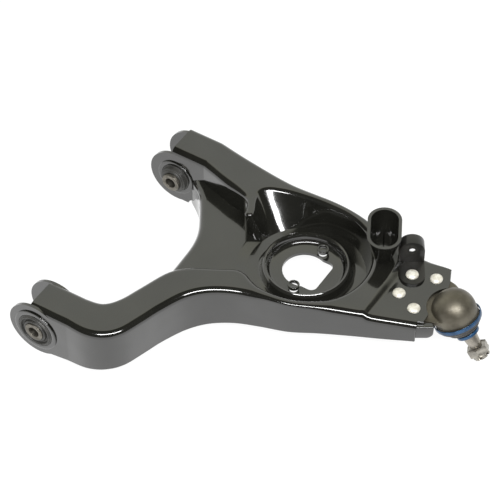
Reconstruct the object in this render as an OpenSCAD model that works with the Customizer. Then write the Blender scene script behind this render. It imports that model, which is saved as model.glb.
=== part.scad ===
// Stamped steel lower control arm with a spring pocket, two pivot bushings and a riveted ball joint.
// Origin: centre of the straight leg's bushing, on the pivot axis. +X points outboard to the ball
// joint, +Y runs along the pivot axis from the curved leg to the straight leg, +Z is up.

/* [Pressed steel] */
// Thickness of the arm's sheet steel
sheet = 4; // [3:0.5:6]
// Top height of the straight leg at its bushing
straight_top = 47; // [44:1:52]
// Top height of the curved leg at its bushing
curved_top = 40; // [39:1:46]
// Top height of the body around the spring pocket
body_top = 45; // [42:1:50]
// Drop from the body down to the ball joint plate
plate_step = 4; // [2:0.5:6]
// Top height of the low web between the legs
web_top = 12; // [8:1:20]
// Height of the wall's lower edge below the pivot axis at the bushings
skirt_drop = 38; // [34:1:42]
// Rise of the near wall's lower edge at the ball joint end
skirt_rise = 13; // [5:1:18]

/* [Legs] */
// Distance between the two bushing centres
pivot_span = 307; // [290:1:330]
// Outside width of each leg's channel at its bushing
leg_w = 48; // [44:1:54]
// Radius of the round ears that hold the bushings
ear_r = 38.9; // [36:0.1:40]

/* [Spring pocket] */
// Distance outboard from the pivot axis to the pocket's centre
pocket_x = 231; // [226:1:236]
// Distance along the pivot axis from the straight bushing to the pocket's centre
pocket_y = 82; // [78:1:86]
// Radius of the pocket at the top
pocket_r = 80; // [76:1:81]
// How much wider the pocket is at the top than at the bottom
pocket_flare = 6; // [3:0.5:9]
// Height of the surface that the spring stands on
seat_z = 8; // [4:1:14]
// Outer radius of the raised ring that centres the spring
ring_r = 56; // [52:1:60]
// Width of the raised ring
ring_w = 6; // [5:0.5:9]
// Height of the raised ring's top
ring_z = 23; // [18:1:28]
// Bevel of the raised ring's two top edges
ring_round = 2; // [1:0.25:2.5]
// Height of the floor inside the raised ring
inner_floor_z = 10; // [8:1:14]
// Radius of the round side of the damper's opening
damper_hole_r = 28; // [24:1:30]
// How far outboard of the pocket's centre the damper's bolts stand
damper_shift = 3; // [0:0.5:5]
// Distance between the damper's two bolts
damper_bolt_span = 70; // [64:1:76]
// Radius of the damper's bolt holes
damper_bolt_r = 5.25; // [4:0.25:6]
// Side of the damper's square weld nuts
nut_side = 18; // [15:0.5:20]
// Height of the weld nuts
nut_h = 9; // [6:0.5:12]

/* [Bump stop cup] */
// Distance from the pocket's rim to the cup's centre
cup_gap = 13.8; // [12:0.2:18]
// Direction from the pocket's centre to the cup, in degrees from outboard
cup_bearing = 34.8; // [30:0.2:40]
// Height of the cup's rim above the body
cup_h = 36; // [28:1:44]
// Length of the cup's rim
cup_l = 70; // [60:1:74]
// Width of the cup's rim
cup_w = 42; // [36:1:46]
// How far the cup's sides lean in, each side, from rim to base
cup_taper = 9; // [4:0.5:12]
// Thickness of the cup's wall
cup_wall = 4; // [3:0.5:5]
// Turn of the cup's long side from the pivot axis, in degrees
cup_turn = 28; // [20:1:35]

/* [Link bracket] */
// Width of the bracket
bracket_w = 31; // [26:1:34]
// Height of the bracket above the ball joint plate
bracket_h = 37; // [30:1:44]
// Thickness of the bracket's sheet
bracket_t = 3; // [2.5:0.5:4]
// Depth of the bracket's hood behind its face
bracket_hood = 12; // [8:1:16]
// Distance from the rivet back to the bracket's upright face
bracket_back = 21; // [19:0.5:24]
// Radius of the bracket's hole
link_hole_r = 4; // [3:0.25:6]
// Height of the bracket's hole above the plate
link_hole_z = 23; // [18:0.5:26]
// Turn of the bracket's face from the pivot plane, in degrees
bracket_turn = 32; // [25:1:40]

/* [Ball joint] */
// Distance outboard from the pivot axis to the ball's centre
ball_x = 426; // [420:1:434]
// Distance along the pivot axis from the straight bushing to the ball's centre
ball_y = 63; // [60:1:66]
// How far the ball's centre lies below the top of the riveted plate
ball_drop = 6; // [4:0.5:8]
// Radius of the ball
ball_r = 15; // [13:0.5:16]
// Lean of the housing away from upright, in degrees
housing_lean = 27; // [22:1:30]
// Lean of the stud away from upright, in degrees
stud_lean = 37; // [32:1:40]
// Outer radius of the housing
housing_r = 27.5; // [26:0.5:29]
// Thickness of the plastic ball seats
seat_wall = 4; // [3:0.5:5]
// Radial running clearance of the ball in its seats
ball_gap = 0.05; // [0.02:0.01:0.1]
// Depth of the housing below the ball's centre
housing_depth = 13; // [12:0.5:15]
// Thickness of the plate that closes the housing
cover_t = 2.5; // [2:0.5:3]
// Wall of the housing's rim round that plate
crimp_wall = 2; // [1.5:0.25:3]
// Radius of the opening for the stud in that plate
cover_hole_r = 18.5; // [18:0.5:19]
// Thickness of the housing's riveted flange
flange_t = 6; // [5:0.5:8]
// Clearance round the housing in the plate's notch
housing_gap = 3.5; // [2:0.5:5]
// Distance inboard from the ball to the outer pair of rivets
rivet_outer_x = 40; // [38:0.5:44]
// Distance inboard from the ball to the inner pair of rivets
rivet_inner_x = 67; // [62:0.5:72]
// Distance between the outer pair of rivets
rivet_outer_span = 56; // [50:1:60]
// Distance between the inner pair of rivets
rivet_inner_span = 32; // [28:1:40]
// Radius of the rivet shanks
rivet_r = 5; // [4:0.25:6]
// Radius of the rivet heads
rivet_head_r = 8; // [7:0.25:9]
// Height of the rivet heads
rivet_head_h = 4.5; // [3:0.5:6]
// Width of the steering stop's tab
stop_w = 22; // [18:1:26]
// Height of the steering stop's tab
stop_h = 20; // [16:1:26]
// Thickness of the steering stop's tab
stop_t = 8; // [5:0.5:10]
// Rounding of the steering stop's lower corner
stop_corner = 9; // [5:0.5:12]

/* [Stud and boot] */
// Radius of the stud's neck below the ball
stud_neck_r = 8; // [7:0.25:8.5]
// Length of the neck between the ball and the taper
stud_neck_l = 8; // [6:0.5:10]
// Radius at the wide end of the stud's taper
taper_r = 9.5; // [9:0.25:10]
// Radius of the stud's thread
thread_r = 7; // [6:0.5:7.5]
// Length of the stud below the ball's centre
stud_l = 74; // [68:1:80]
// Width across the castle nut's flats
castle_af = 24; // [22:0.5:27]
// Height of the castle nut
castle_h = 15; // [12:0.5:17]
// Distance from the ball's centre down to the castle nut
castle_at = 56; // [54:0.5:58]
// How far the boot's wide end stands out past the housing
boot_lip = 1; // [0.5:0.25:2]
// Outer radius of the boot's neck
boot_neck_r = 13; // [12:0.5:14]
// Thickness of the boot's rubber
boot_wall = 2.5; // [2:0.25:3]
// Distance from the ball's centre down to the boot's neck
boot_neck_at = 33; // [32:0.5:35]

/* [Bushings] */
// Inside radius of the bushing sleeves, for the pivot bolts
bolt_bore_r = 7.25; // [6:0.25:8]
// Outside radius of the bushing sleeves
sleeve_r = 12.5; // [11:0.25:13.5]
// How far the straight leg's sleeve stands out of each ear
straight_sleeve_out = 14; // [10:0.5:18]
// How far the curved leg's sleeve stands out of each ear
curved_sleeve_out = 5.5; // [4:0.5:8]
// Outside radius of the straight bushing's shell
straight_shell_r = 22; // [20:0.5:24]
// Outside radius of the curved bushing's shell
curved_shell_r = 26; // [24:0.5:27]
// Wall of the bushing shells
shell_wall = 2; // [1.5:0.25:3]
// How far the shell's flange stands out around the ear's hole
flange_lip = 4; // [3:0.5:5]
// Radial clearance of a sleeve in its rubber
twist_gap = 0.05; // [0.02:0.01:0.1]

/* [Hidden] */

$fn = 72;
eps = 0.01;
deep = 90; // longer than any cut has to reach

black_paint = [0.10, 0.10, 0.10];
raw_steel = [0.52, 0.50, 0.46];
zinc = [0.72, 0.70, 0.66];
rivet_cream = [0.85, 0.83, 0.76];
rubber_black = [0.06, 0.06, 0.06];
clamp_blue = [0.20, 0.35, 0.52];
nylon_white = [0.88, 0.87, 0.82];

fit_gap = 0.3; // between pieces that move apart
plate_top = body_top - plate_step;
straight_end_x = -5; // where each leg's top ends, just past its bushing
curved_end_x = -7;
straight_y = leg_w / 2;
curved_near_y = -pivot_span - leg_w / 2;
curved_far_y = -pivot_span + leg_w / 2;
straight_sleeve_l = leg_w + 2 * straight_sleeve_out;
curved_sleeve_l = leg_w + 2 * curved_sleeve_out;
pocket_c = [pocket_x, -pocket_y];
pocket_floor_r = pocket_r - pocket_flare;
rim_far = -pocket_y + pocket_r; // the pocket's rim on the straight leg's side
rim_near = -pocket_y - pocket_r;
ball_c = [ball_x, -ball_y, plate_top - ball_drop];
boot_r = housing_r + boot_lip;
outer_x = ball_x - 26; // where the near wall ends
outer_near_y = -ball_y - 52;
corner_x = ball_x - 32; // the plate's far corner
corner_y = straight_y - 35;
plate_x = ball_x - 20; // the plate's outer edge
step_x = ball_x - 88; // where the body steps down to the ball joint plate
step_run = 8;
level_x = pocket_x; // where the sloping leg tops reach the body's height
rivets = [[ball_x - rivet_inner_x, -ball_y + rivet_inner_span / 2],
    [ball_x - rivet_outer_x, -ball_y + rivet_outer_span / 2],
    [ball_x - rivet_inner_x, -ball_y - rivet_inner_span / 2],
    [ball_x - rivet_outer_x, -ball_y - rivet_outer_span / 2]];

// Smooth curve through the points p, with n steps between neighbours
function knot(p, i) = p[max(0, min(len(p) - 1, i))];
function between(a, b, c, d, t) = 0.5 * ((2 * b) + (c - a) * t + (2 * a - 5 * b + 4 * c - d) * t * t
    + (3 * b - a - 3 * c + d) * t * t * t);
function smooth(p, n = 5) = [for (i = [0:len(p) - 2]) for (k = [0:n - 1])
    between(knot(p, i - 1), p[i], p[i + 1], knot(p, i + 2), k / n), p[len(p) - 1]];
// A clockwise outline p moved in by d
function unit(v) = v / norm(v);
function right_of(a, b) = unit([(b - a)[1], -(b - a)[0]]);
function inset(p, d) = [for (i = [0:len(p) - 1])
    let (m = right_of(p[(i + len(p) - 1) % len(p)], p[i]), n = right_of(p[i], p[(i + 1) % len(p)]))
    p[i] + d * (m + n) / (1 + m * n)];
function backwards(p) = [for (i = [len(p) - 1:-1:0]) p[i]];

// Plan of the legs and body: outer faces of the side walls
far_edge = concat([[straight_end_x, straight_y]], smooth([[42, straight_y],
    [90, straight_y - 8], [153, straight_y - 15],
    [pocket_x - 26, rim_far + 13], [pocket_x + 24, rim_far + 9], [pocket_x + 86, rim_far - 5],
    [step_x + 7, corner_y + 0.5], [corner_x, corner_y]]));
near_edge = concat([[curved_end_x, curved_near_y]], smooth([[45, curved_near_y],
    [74, curved_near_y - 1], [97, curved_near_y + 7], [112, curved_near_y + 24],
    [122, curved_near_y + 52], [131, curved_near_y + 80], [144, curved_near_y + 110],
    [163, curved_near_y + 131], [190, curved_near_y + 146], [pocket_x - 9, rim_near - 14],
    [pocket_x + 27, rim_near - 6], [pocket_x + 61, rim_near + 8], [step_x - 8, outer_near_y - 25],
    [outer_x - 38, outer_near_y - 14], [outer_x, outer_near_y]]));
curve_inner = concat([[curved_end_x, curved_far_y]], smooth([[45, curved_far_y],
    [65, curved_far_y + 4], [78, curved_far_y + 20], [88, curved_far_y + 47],
    [103, curved_far_y + 87], [124, curved_far_y + 108], [150, curved_far_y + 122],
    [176, rim_near + 16]]));
straight_inner = concat([[straight_end_x, -straight_y]], smooth([[42, -straight_y],
    [60, -straight_y - 6], [84, -straight_y - 14], [112, -straight_y - 20], [158, -straight_y - 26]]));
// The web's free edge, round the bay between the legs
bay_edge = smooth([[22, -straight_y + 2], [38, -straight_y - 10], [50, -straight_y - 22],
    [66, -straight_y - 46], [80, -straight_y - 71], [87, -straight_y - 96], [89, -150], [90, -180],
    [91, curved_far_y + 40]]);
arm_plan = concat(far_edge, backwards(near_edge), curve_inner,
    [[pocket_x - 31, -pocket_y - 38], [pocket_x - 31, -pocket_y + 22]], backwards(straight_inner));
web_plan = concat(backwards(bay_edge), [[20, -straight_y + 14], [130, -straight_y + 14],
    [240, -pocket_y + 47], [240, -pocket_y - 58], [192, rim_near - 3], [152, curved_far_y + 92],
    [124, curved_far_y + 60], [112, curved_far_y + 40]]);
plate_plan = [[outer_x - 25, corner_y], [corner_x, corner_y], [plate_x, -ball_y + 22],
    [plate_x, -ball_y - 41], [outer_x, outer_near_y], [outer_x - 25, outer_near_y + 2]];
straight_roof = [[-deep, -deep], [-deep, straight_top + (straight_top - body_top) * deep / level_x],
    [level_x, body_top], [step_x, body_top], [step_x + step_run, plate_top],
    [ball_x + deep, plate_top], [ball_x + deep, -deep]];
curved_roof = [[-deep, -deep], [-deep, curved_top + (curved_top - body_top) * deep / level_x],
    [level_x, body_top], [step_x, body_top], [step_x + step_run, plate_top],
    [ball_x + deep, plate_top], [ball_x + deep, -deep]];
straight_base = [[-deep, -deep], [-deep, -skirt_drop], [50, -skirt_drop], [110, -skirt_drop + 12],
    [160, -18], [outer_x, skirt_rise], [outer_x, -deep]];
curved_base = [[-deep, -deep], [-deep, -skirt_drop], [0, -skirt_drop + 1], [100, -skirt_drop + 18],
    [160, -18], [outer_x, skirt_rise], [outer_x, -deep]];

// Extrudes an outline drawn in X and Z along Y, from y0 to y1
module along_y(y0, y1) translate([0, y1, 0]) rotate([90, 0, 0]) linear_extrude(y1 - y0) children();
// Cylinder along Y from y0 to y1, on the pivot axis
module on_pivot(r, y0, y1) translate([0, y1, 0]) rotate([90, 0, 0]) cylinder(r = r, h = y1 - y0);
// Places children at the ball with their +Z along an axis that leans outboard and points down
module at_ball(lean) translate(ball_c) rotate([0, 180 - lean, 0]) children();

// Space under the arm's top faces, lowered by drop
module under_roof(drop) translate([0, 0, -drop]) {
    along_y(-pocket_y, deep) polygon(straight_roof);
    along_y(-pivot_span - deep, -pocket_y) polygon(curved_roof);
}
module below_skirt() {
    along_y(curved_far_y + 47, deep) polygon(straight_base);
    along_y(-pivot_span - deep, curved_far_y + 47) polygon(curved_base);
}
// The pocket's tapered bore, widened by grow, from z0 to z1
function pocket_r_at(z) = pocket_floor_r + (pocket_r - pocket_floor_r) * (z - seat_z) / (body_top - seat_z);
module pocket(grow, z0, z1) translate([pocket_c[0], pocket_c[1], z0])
    cylinder(r1 = pocket_r_at(z0) + grow, r2 = pocket_r_at(z1) + grow, h = z1 - z0);

module arm_walls() difference() {
    union() {
        intersection() {
            under_roof(0);
            translate([0, 0, -deep]) linear_extrude(2 * deep) polygon(arm_plan);
        }
        translate([0, 0, -deep]) linear_extrude(web_top + deep) polygon(web_plan);
    }
    difference() {
        union() {
            intersection() {
                under_roof(sheet);
                translate([0, 0, -deep]) linear_extrude(2 * deep) polygon(inset(arm_plan, sheet));
            }
            translate([0, 0, -deep]) linear_extrude(web_top - sheet + deep)
                polygon(inset(web_plan, sheet));
        }
        pocket(sheet, seat_z, body_top + sheet);
    }
    below_skirt();
    pocket(0, seat_z - 1, body_top + 2 * sheet);
    translate([pocket_c[0], pocket_c[1], -deep])
        cylinder(r = pocket_r + sheet + 2, h = deep + seat_z);
    // open ends of the two channels and of the body
    translate([-deep, -straight_y + sheet, -deep])
        cube([deep + sheet, leg_w - 2 * sheet, deep + straight_top - sheet - 1]);
    translate([-deep, curved_near_y + sheet, -deep])
        cube([deep + sheet, leg_w - 2 * sheet, deep + curved_top - sheet]);
    translate([outer_x - 3 * sheet, outer_near_y + sheet, -deep])
        cube([deep, corner_y - outer_near_y - 2 * sheet, deep + plate_top - sheet]);
}

module ears(y_near, y_far) {
    on_pivot(ear_r, y_near, y_near + sheet);
    on_pivot(ear_r, y_far - sheet, y_far);
}

module pressed_arm() difference() {
    union() {
        arm_walls();
        ears(-straight_y, straight_y);
        ears(curved_near_y, curved_far_y);
        translate([0, 0, plate_top - sheet]) linear_extrude(sheet) polygon(plate_plan);
    }
    on_pivot(straight_shell_r, -deep, deep);
    on_pivot(curved_shell_r, curved_near_y - deep, curved_far_y + deep / 2);
    translate([ball_x - 2, -ball_y - 2, plate_top - 2 * sheet])
        cylinder(r = housing_r + housing_gap, h = deep);
    for (p = rivets) translate([p[0], p[1], plate_top - 2 * sheet])
        cylinder(r = rivet_r, h = 4 * sheet);
}

// The pressing's stretches: two legs, the web between them, four quarters round the pocket and a plate
leg_x = pocket_x - 90; // where the legs meet the body round the pocket
web_far_y = -straight_y - 31;
web_near_y = curved_far_y + 123;
plate_x0 = step_x + step_run;
module stretch(x0, x1, y0, y1) color(black_paint) intersection() {
    pressed_arm();
    translate([x0, y0, -deep]) cube([x1 - x0, y1 - y0, 2 * deep]);
}
module straight_leg() stretch(-deep, leg_x, web_far_y, deep);
module low_web() stretch(-deep, leg_x, web_near_y, web_far_y);
module curved_leg() stretch(-deep, leg_x, curved_near_y - deep, web_near_y);
module pocket_far_inboard() stretch(leg_x, pocket_x, -pocket_y, deep);
module pocket_near_inboard() stretch(leg_x, pocket_x, curved_near_y, -pocket_y);
module pocket_far_outboard() stretch(pocket_x, plate_x0, -pocket_y, deep);
module pocket_near_outboard() stretch(pocket_x, plate_x0, curved_near_y, -pocket_y);
module ball_joint_plate() stretch(plate_x0, ball_x + deep, curved_near_y, deep);

module damper_bolts(r, z0, h) for (s = [-1, 1])
    translate([pocket_c[0] + damper_shift, pocket_c[1] + s * damper_bolt_span / 2, z0])
        cylinder(r = r, h = h);

module spring_seat() color(black_paint) difference() {
    translate([pocket_c[0], pocket_c[1], 0]) difference() {
        rotate_extrude() polygon([[0, inner_floor_z - sheet], [ring_r, inner_floor_z - sheet],
            [ring_r + sheet, seat_z - sheet], [pocket_floor_r + sheet, seat_z - sheet],
            [pocket_floor_r + sheet, seat_z], [ring_r, seat_z], [ring_r - 1, ring_z - ring_round],
            [ring_r - 1 - ring_round, ring_z], [ring_r - ring_w + ring_round, ring_z],
            [ring_r - ring_w, ring_z - ring_round], [ring_r - ring_w - 1, inner_floor_z],
            [0, inner_floor_z]]);
        translate([-2, 0, -deep / 2]) cylinder(r = damper_hole_r, h = deep);
        translate([0, -(damper_bolt_span - nut_side) / 2, -deep / 2])
            cube([damper_hole_r - 2, damper_bolt_span - nut_side, deep]);
    }
    damper_bolts(damper_bolt_r, -deep / 2, deep);
}

module damper_nuts() color(zinc) difference() {
    damper_bolts(nut_side / 2 - 1.5, inner_floor_z, nut_h);
    for (s = [-1, 1]) translate([pocket_c[0] + damper_shift - nut_side / 2,
        pocket_c[1] + s * damper_bolt_span / 2 - nut_side / 2, inner_floor_z])
        cube([nut_side, nut_side, nut_h / 2]);
    damper_bolts(damper_bolt_r, 0, deep);
}

// Upright cup with round ends: a stack of courses that narrow towards the base
cup_c = pocket_c + (pocket_r + cup_gap) * [cos(cup_bearing), sin(cup_bearing)];
module oval(l, w) {
    square([w, l - w], center = true);
    for (s = [-1, 1]) translate([0, s * (l - w) / 2]) circle(d = w);
}
module bump_stop_cup() color(black_paint)
    translate([cup_c[0], cup_c[1], body_top]) rotate([0, 0, cup_turn]) {
        courses = 6;
        lean = cup_taper / courses;
        for (k = [0:courses - 1]) translate([0, 0, k * cup_h / courses]) linear_extrude(cup_h / courses)
            difference() {
                oval(cup_l - 2 * (cup_taper - k * lean), cup_w - 2 * (cup_taper - k * lean));
                oval(cup_l - 2 * (cup_taper - k * lean + cup_wall),
                    cup_w - 2 * (cup_taper - k * lean + cup_wall));
            }
        linear_extrude(cup_wall) oval(cup_l - 2 * cup_taper, cup_w - 2 * cup_taper);
    }

// Bracket under the first rivet: a foot, an upright with a hole and a hood round its arched top
module arch(w, h) {
    translate([-w / 2, 0]) square([w, h - w / 2]);
    translate([0, h - w / 2]) circle(d = w);
}
module at_bracket() translate([rivets[0][0], rivets[0][1], plate_top]) rotate([0, 0, bracket_turn])
    children();
module link_bracket() color(black_paint) difference() {
    at_bracket() {
        difference() {
            linear_extrude(bracket_t) {
                circle(d = bracket_w);
                translate([-bracket_w / 2, 0]) square([bracket_w, bracket_back + bracket_t]);
            }
            translate([0, 0, -eps]) cylinder(r = rivet_r, h = bracket_t + 1);
        }
        difference() {
            along_y(bracket_back, bracket_back + bracket_t) arch(bracket_w, bracket_h);
            translate([0, bracket_back - eps, link_hole_z]) rotate([-90, 0, 0])
                cylinder(r = link_hole_r, h = deep);
        }
        intersection() {
            along_y(bracket_back, bracket_back + bracket_t + bracket_hood) difference() {
                arch(bracket_w, bracket_h);
                translate([0, -eps]) arch(bracket_w - 2 * bracket_t, bracket_h - bracket_t + eps);
            }
            translate([-deep / 2, 0, bracket_t + 5]) cube(deep);
        }
    }
    // trimmed where it stands over the body's step
    along_y(-pocket_y, deep) polygon([[0, 0], [0, body_top], [step_x, body_top],
        [step_x + step_run, plate_top], [step_x + step_run, 0]]);
}

// Turned-down tab below the plate's near outer corner
module steering_stop() color(black_paint)
    translate([outer_x + 1, -ball_y - 50, plate_top - sheet]) rotate([0, 0, bracket_turn])
    along_y(0, stop_t) {
        translate([0, -stop_h + stop_corner]) square([stop_w, stop_h - stop_corner]);
        translate([0, -stop_h]) square([stop_w - stop_corner, stop_h]);
        translate([stop_w - stop_corner, -stop_h + stop_corner]) circle(r = stop_corner);
    }

// Half sphere of radius r with a straight side that runs on for h
module dome(r, h) rotate_extrude() {
    intersection() {
        circle(r = r);
        translate([0, -r]) square(r);
    }
    square([r, h]);
}
module ball_joint_housing() color(raw_steel) difference() {
    union() {
        at_ball(housing_lean) dome(housing_r, housing_depth);
        translate([0, 0, plate_top - sheet - flange_t]) linear_extrude(flange_t) polygon([
            rivets[0] + [-12, 4], rivets[0] + [-6, 12], rivets[1] + [0, 12], rivets[1] + [22, 8],
            [ball_x, -ball_y + 27], [ball_x, -ball_y - 27], rivets[3] + [22, -6],
            rivets[3] + [0, -12], rivets[2] + [-6, -12], rivets[2] + [-12, -4]]);
    }
    at_ball(housing_lean) dome(seat_r, housing_depth + 1);
    at_ball(housing_lean) translate([0, 0, housing_depth - cover_t])
        cylinder(r = housing_r - crimp_wall, h = deep);
    for (p = rivets) translate([p[0], p[1], 0]) cylinder(r = rivet_r, h = plate_top);
}

module ball_joint_rivets() color(rivet_cream) for (i = [0:len(rivets) - 1]) {
    seat = plate_top + (i == 0 ? bracket_t : 0);
    base = plate_top - sheet - flange_t;
    translate([rivets[i][0], rivets[i][1], base]) cylinder(r = rivet_r, h = seat - base);
    translate([rivets[i][0], rivets[i][1], seat]) rotate_extrude() intersection() {
        translate([0, -(rivet_head_r * rivet_head_r - rivet_head_h * rivet_head_h)
            / (2 * rivet_head_h)])
            circle(r = (rivet_head_r * rivet_head_r + rivet_head_h * rivet_head_h)
                / (2 * rivet_head_h));
        square([rivet_head_r, rivet_head_h]);
    }
    translate([rivets[i][0], rivets[i][1], base - rivet_head_h / 2])
        cylinder(r1 = rivet_head_r - 1.5, r2 = rivet_head_r, h = rivet_head_h / 2);
}

module housing_cover() color(raw_steel) at_ball(housing_lean) difference() {
    translate([0, 0, housing_depth - cover_t]) cylinder(r = housing_r - crimp_wall, h = cover_t);
    cylinder(r = cover_hole_r, h = deep);
}

// Seats: the housing's bore less the ball, split at the ball's middle
seat_r = ball_r + ball_gap + seat_wall;
seat_split = 0.5;
module ball_seat_upper() color(nylon_white) at_ball(housing_lean) difference() {
    sphere(r = seat_r);
    sphere(r = ball_r + ball_gap);
    translate([-deep / 2, -deep / 2, -seat_split]) cube(deep);
}
module ball_seat_lower() color(nylon_white) at_ball(housing_lean) difference() {
    translate([0, 0, seat_split]) cylinder(r = seat_r, h = housing_depth - cover_t - seat_split);
    sphere(r = ball_r + ball_gap);
    cylinder(r = ball_r - 1.2, h = deep);
}

module ball_stud() color(zinc) at_ball(stud_lean) rotate_extrude() {
    intersection() {
        circle(r = ball_r);
        translate([0, -ball_r]) square([ball_r, 2 * ball_r]);
    }
    polygon([[0, 0], [stud_neck_r, 0], [stud_neck_r, ball_r + stud_neck_l],
        [taper_r, ball_r + stud_neck_l + 5], [taper_r, boot_neck_at + boot_neck_l],
        [thread_r + 0.6, castle_at - 1], [thread_r, castle_at - 1], [thread_r, stud_l - 1.5],
        [thread_r - 1.5, stud_l], [0, stud_l]]);
}

module castle_nut() color(zinc) at_ball(stud_lean) translate([0, 0, castle_at]) {
    crown_h = castle_h / 3;
    slot_w = 3.2;
    difference() {
        union() {
            cylinder(d = castle_af / cos(30), h = castle_h - crown_h, $fn = 6);
            translate([0, 0, castle_h - crown_h]) cylinder(r = castle_af / 2 - 1.5, h = crown_h);
        }
        translate([0, 0, -1]) cylinder(r = thread_r, h = deep);
        for (a = [0:60:120]) rotate([0, 0, a])
            translate([-castle_af, -slot_w / 2, castle_h - crown_h]) cube([2 * castle_af, slot_w, deep]);
    }
}

// Boot: a wide collar on the housing's axis and a cone on the stud's axis
collar_h = 5;
boot_neck_l = 4;
band_t = 1.5; // thickness of the two spring bands
module dust_boot() color(rubber_black) difference() {
    union() {
        at_ball(housing_lean) translate([0, 0, housing_depth + fit_gap])
            cylinder(r = boot_r, h = collar_h);
        at_ball(stud_lean) rotate_extrude() polygon([[0, ball_r + 2], [boot_r - 4.5, ball_r + 4],
            [boot_r - 3, ball_r + 8], [boot_neck_r, boot_neck_at - 2],
            [boot_neck_r, boot_neck_at + boot_neck_l], [0, boot_neck_at + boot_neck_l]]);
    }
    at_ball(housing_lean) cylinder(r = boot_r + 2, h = housing_depth + fit_gap);
    at_ball(housing_lean) translate([0, 0, housing_depth])
        cylinder(r = boot_r - 2 * boot_wall, h = collar_h - 1);
    at_ball(stud_lean) rotate_extrude() polygon([[0, 0], [boot_r - 3 * boot_wall, ball_r],
        [boot_r - 3 * boot_wall, ball_r + 7], [boot_neck_r - boot_wall, boot_neck_at - 3],
        [taper_r + fit_gap, boot_neck_at], [taper_r + fit_gap, boot_neck_at + 2 * boot_neck_l],
        [0, boot_neck_at + 2 * boot_neck_l]]);
}
// Spring band of height h round a radius r, from z0
module band(r, z0, h) translate([0, 0, z0]) difference() {
    cylinder(r = r + fit_gap + band_t, h = h);
    translate([0, 0, -1]) cylinder(r = r + fit_gap, h = h + 2);
}
module boot_ring_large() color(clamp_blue) at_ball(housing_lean)
    band(boot_r, housing_depth - 3, collar_h);
module boot_ring_small() color(clamp_blue) at_ball(stud_lean)
    band(boot_neck_r, boot_neck_at - 1, boot_neck_l);

// Bushings: a flanged shell pressed into both ears, rubber bonded inside it, and the inner sleeve
module bushing_shell(r, y_near, y_far) color(black_paint) difference() {
    union() {
        on_pivot(r, y_near, y_far + 1);
        on_pivot(r + flange_lip, y_near - shell_wall, y_near);
    }
    on_pivot(r - shell_wall, y_near - deep, y_far + deep);
}
module bushing_rubber(r, y_near, y_far, boss) color(rubber_black) difference() {
    union() {
        on_pivot(r - shell_wall, y_near - shell_wall, y_far + 1);
        on_pivot(r - shell_wall - 1.5, y_near - shell_wall - boss, y_far + 1 + boss);
    }
    on_pivot(sleeve_r + twist_gap, y_near - deep, y_far + deep);
}
module bushing_sleeve(length, y_mid) color(zinc) difference() {
    on_pivot(sleeve_r, y_mid - length / 2, y_mid + length / 2);
    on_pivot(bolt_bore_r, y_mid - length, y_mid + length);
}
straight_boss = straight_sleeve_out - shell_wall - 4;
curved_boss = curved_sleeve_out - shell_wall - 1.5;
module straight_bushing_shell() bushing_shell(straight_shell_r, -straight_y, straight_y);
module straight_bushing_rubber()
    bushing_rubber(straight_shell_r, -straight_y, straight_y, straight_boss);
module straight_bushing_sleeve() bushing_sleeve(straight_sleeve_l, 0);
module curved_bushing_shell() bushing_shell(curved_shell_r, curved_near_y, curved_far_y);
module curved_bushing_rubber()
    bushing_rubber(curved_shell_r, curved_near_y, curved_far_y, curved_boss);
module curved_bushing_sleeve() bushing_sleeve(curved_sleeve_l, -pivot_span);

straight_leg();
curved_leg();
low_web();
pocket_far_inboard();
pocket_far_outboard();
pocket_near_inboard();
pocket_near_outboard();
ball_joint_plate();
spring_seat();
bump_stop_cup();
link_bracket();
steering_stop();
damper_nuts();
ball_joint_housing();
ball_joint_rivets();
housing_cover();
ball_seat_upper();
ball_seat_lower();
ball_stud();
castle_nut();
dust_boot();
boot_ring_large();
boot_ring_small();
straight_bushing_shell();
straight_bushing_rubber();
straight_bushing_sleeve();
curved_bushing_shell();
curved_bushing_rubber();
curved_bushing_sleeve();
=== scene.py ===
import math

import bmesh
import bpy
from mathutils import Matrix, Vector


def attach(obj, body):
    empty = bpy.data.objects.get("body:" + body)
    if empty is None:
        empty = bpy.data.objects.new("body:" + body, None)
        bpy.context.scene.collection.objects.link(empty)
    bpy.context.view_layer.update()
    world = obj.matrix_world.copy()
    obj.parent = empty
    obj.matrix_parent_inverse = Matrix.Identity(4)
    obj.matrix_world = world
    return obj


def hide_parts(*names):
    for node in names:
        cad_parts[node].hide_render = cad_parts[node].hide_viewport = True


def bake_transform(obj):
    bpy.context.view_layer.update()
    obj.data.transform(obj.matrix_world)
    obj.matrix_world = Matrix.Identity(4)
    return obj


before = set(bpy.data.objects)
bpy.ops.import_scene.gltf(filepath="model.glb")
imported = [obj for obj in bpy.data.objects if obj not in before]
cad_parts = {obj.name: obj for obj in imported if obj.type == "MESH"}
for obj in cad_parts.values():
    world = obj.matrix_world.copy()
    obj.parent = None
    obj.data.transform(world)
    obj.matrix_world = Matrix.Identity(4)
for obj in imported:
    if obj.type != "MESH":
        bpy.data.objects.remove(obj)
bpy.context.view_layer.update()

MM = 0.001


# ---------------------------------------------------------------- small helpers

def deselect():
    if bpy.context.object and bpy.context.object.mode != "OBJECT":
        bpy.ops.object.mode_set(mode="OBJECT")
    bpy.ops.object.select_all(action="DESELECT")


def activate(piece):
    deselect()
    piece.select_set(True)
    bpy.context.view_layer.objects.active = piece


def name_piece(name):
    """The object that was just added becomes the named piece, with its place in its mesh."""
    piece = bpy.context.object
    piece.name = name
    piece.data.name = name
    activate(piece)
    bpy.ops.object.transform_apply(location=True, rotation=True, scale=True)
    return piece


def apply_modifiers(piece):
    activate(piece)
    for modifier in list(piece.modifiers):
        bpy.ops.object.modifier_apply(modifier=modifier.name)


def smooth_by(piece, degrees):
    activate(piece)
    bpy.ops.object.shade_smooth_by_angle(angle=math.radians(degrees))


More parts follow.
